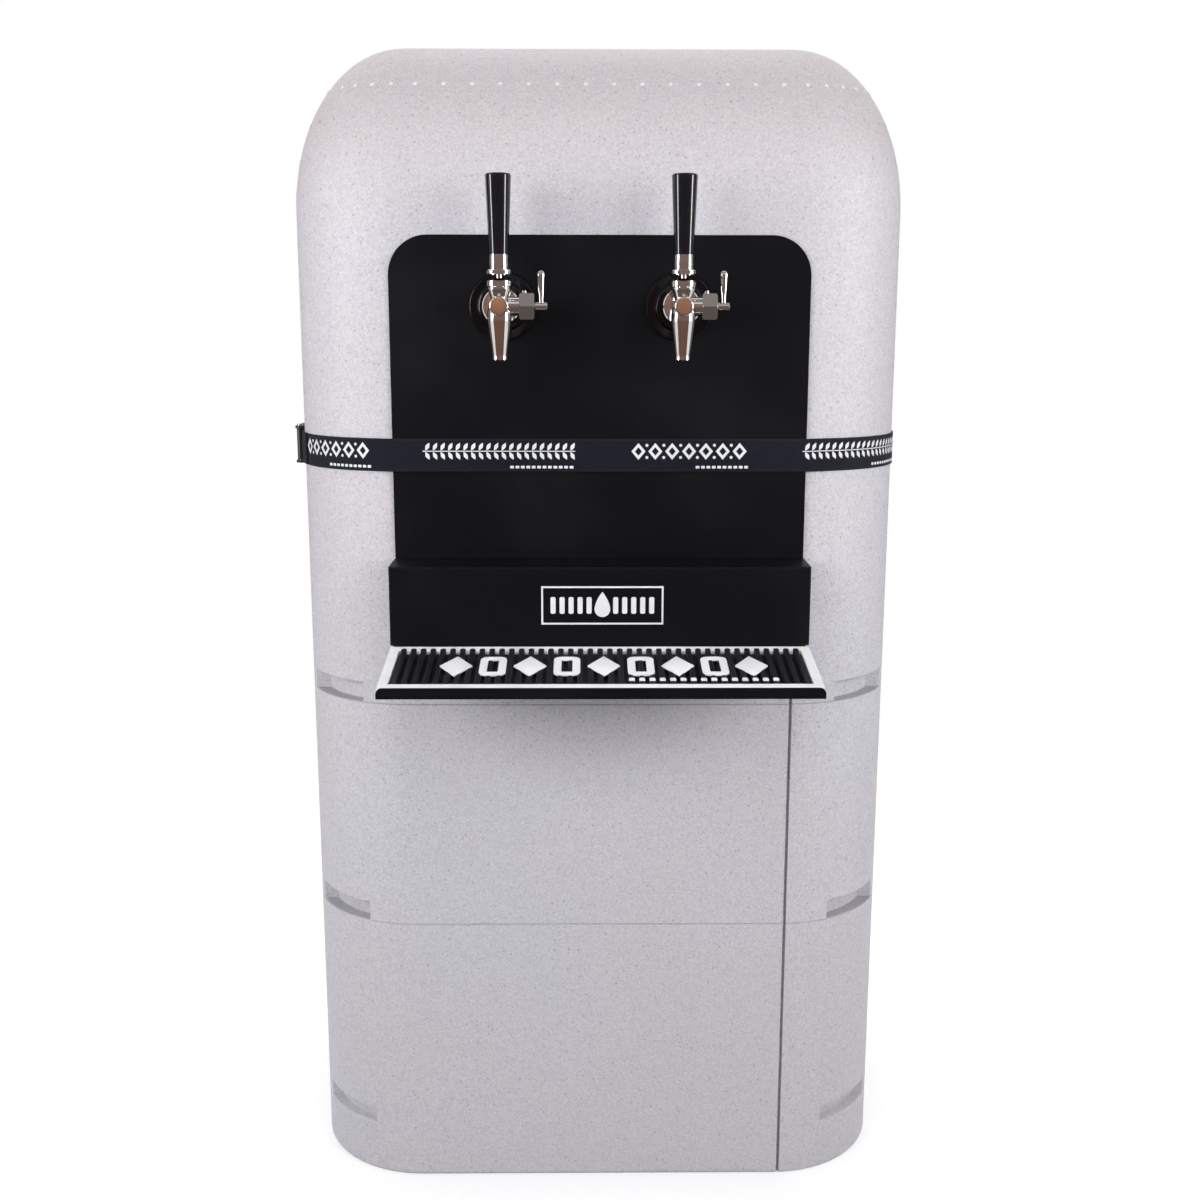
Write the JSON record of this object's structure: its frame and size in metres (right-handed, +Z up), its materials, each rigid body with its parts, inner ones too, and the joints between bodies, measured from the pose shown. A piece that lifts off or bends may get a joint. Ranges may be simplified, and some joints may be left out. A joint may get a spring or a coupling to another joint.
{
  "type": "jockey box beer cooler",
  "caption": "Tall insulated jockey box of stacked foam sections with a black tap front, chrome flow-control taps, shelf, sloping drip tray with ribbed mat, and a cold plate inside.",
  "frame": {"origin": "centre of the base's underside, on the floor", "axes": "+Z up; the taps face -Y; +X to the right of someone facing the taps"},
  "size_m": [0.7164, 0.806, 1.335],
  "materials": {
    "foam": "moulded bead foam, light grey with fine dark specks",
    "sheet_black": "satin black powder coat",
    "mat_black": "moulded rubber",
    "mat_white": "moulded white rubber",
    "webbing": "woven webbing",
    "buckle_black": "black coated",
    "cast_aluminium": "as cast",
    "soft_black": "moulded",
    "stainless": "drawn",
    "chrome": "polished",
    "dark_steel": "dark turned",
    "brass": "machined",
    "handle_black": "moulded",
    "coupler_grey": "moulded",
    "hose_clear": "milky flexible hose"
  },
  "bodies": {
    "base": {"base_tub": "foam", "cold_plate": "cast_aluminium", "cold_plate_feet": "soft_black", "inlet_lock_nuts": "stainless", "drain_plug": "soft_black", "inlet_tube_left": "stainless", "inlet_tube_right": "stainless", "riser_tube_left": "stainless", "riser_tube_right": "stainless", "inlet_bulkhead_left": "stainless", "inlet_bulkhead_right": "stainless"},
    "ring": {"middle_ring": "foam"},
    "hood": {"hood_shell": "foam", "tap_plate": "sheet_black", "shelf_box": "sheet_black", "drip_tray": "sheet_black", "strap": "webbing", "buckle_frame": "buckle_black", "buckle_pin": "stainless", "hose_clamps": "stainless", "shank_left": "chrome", "shank_right": "chrome", "shank_flange_left": "dark_steel", "shank_flange_right": "dark_steel", "shank_lock_nut_left": "brass", "shank_lock_nut_right": "brass", "shank_tail_left": "stainless", "shank_tail_right": "stainless", "coupling_nut_left": "chrome", "coupling_nut_right": "chrome", "tail_nut_left": "brass", "tail_nut_right": "brass", "faucet_body_left": "chrome", "faucet_body_right": "chrome", "faucet_spout_left": "chrome", "faucet_spout_right": "chrome", "faucet_bonnet_left": "chrome", "faucet_bonnet_right": "chrome", "flow_housing_left": "chrome", "flow_housing_right": "chrome", "quick_coupler_left": "coupler_grey", "quick_coupler_right": "coupler_grey", "beer_line_left": "hose_clear", "beer_line_right": "hose_clear"},
    "mat": {"bar_mat": "mat_black", "mat_border": "mat_white"},
    "buckle": {"buckle_lever": "buckle_black"},
    "lever_left": {"tap_lever_left": "chrome", "handle_ferrule_left": "chrome", "tap_handle_left": "handle_black"},
    "plunger_left": {"faucet_plunger_left": "stainless"},
    "flow_left": {"flow_lever_left": "chrome"},
    "lever_right": {"tap_lever_right": "chrome", "handle_ferrule_right": "chrome", "tap_handle_right": "handle_black"},
    "plunger_right": {"faucet_plunger_right": "stainless"},
    "flow_right": {"flow_lever_right": "chrome"}
  },
  "joints": [
    {"name": "ring_lift", "type": "slide", "parent": "base", "child": "ring", "axis": [0, 0, 1], "range_m": [0, 0.12]},
    {"name": "hood_lift", "type": "slide", "parent": "ring", "child": "hood", "axis": [0, 0, 1], "range_m": [0, 0.3]},
    {"name": "mat_lift", "type": "slide", "parent": "hood", "child": "mat", "axis": [0, 0, 1], "range_m": [0, 0.06]},
    {"name": "buckle_open", "type": "hinge", "parent": "hood", "child": "buckle", "pos_m": [-0.35915, -0.156, 0.887], "axis": [0, 0, 1], "range_deg": [0, 100]},
    {"name": "tap_left_pull", "type": "hinge", "parent": "hood", "child": "lever_left", "pos_m": [-0.1055, -0.365, 1.068], "axis": [1, 0, 0], "range_deg": [0, 25]},
    {"name": "plunger_left_slide", "type": "slide", "parent": "hood", "child": "plunger_left", "axis": [0, 1, 0], "range_m": [0, 0.0069]},
    {"name": "flow_left_turn", "type": "hinge", "parent": "hood", "child": "flow_left", "pos_m": [-0.1055, -0.353, 1.0485], "axis": [1, 0, 0], "range_deg": [-90, 90]},
    {"name": "tap_right_pull", "type": "hinge", "parent": "hood", "child": "lever_right", "pos_m": [0.0865, -0.365, 1.068], "axis": [1, 0, 0], "range_deg": [0, 25]},
    {"name": "plunger_right_slide", "type": "slide", "parent": "hood", "child": "plunger_right", "axis": [0, 1, 0], "range_m": [0, 0.0069]},
    {"name": "flow_right_turn", "type": "hinge", "parent": "hood", "child": "flow_right", "pos_m": [0.0865, -0.353, 1.0485], "axis": [1, 0, 0], "range_deg": [-90, 90]}
  ],
  "couplings": [
    {"joint": "plunger_left_slide", "follows": "tap_left_pull", "m_per_rad": 0.0156},
    {"joint": "plunger_right_slide", "follows": "tap_right_pull", "m_per_rad": 0.0156}
  ]
}
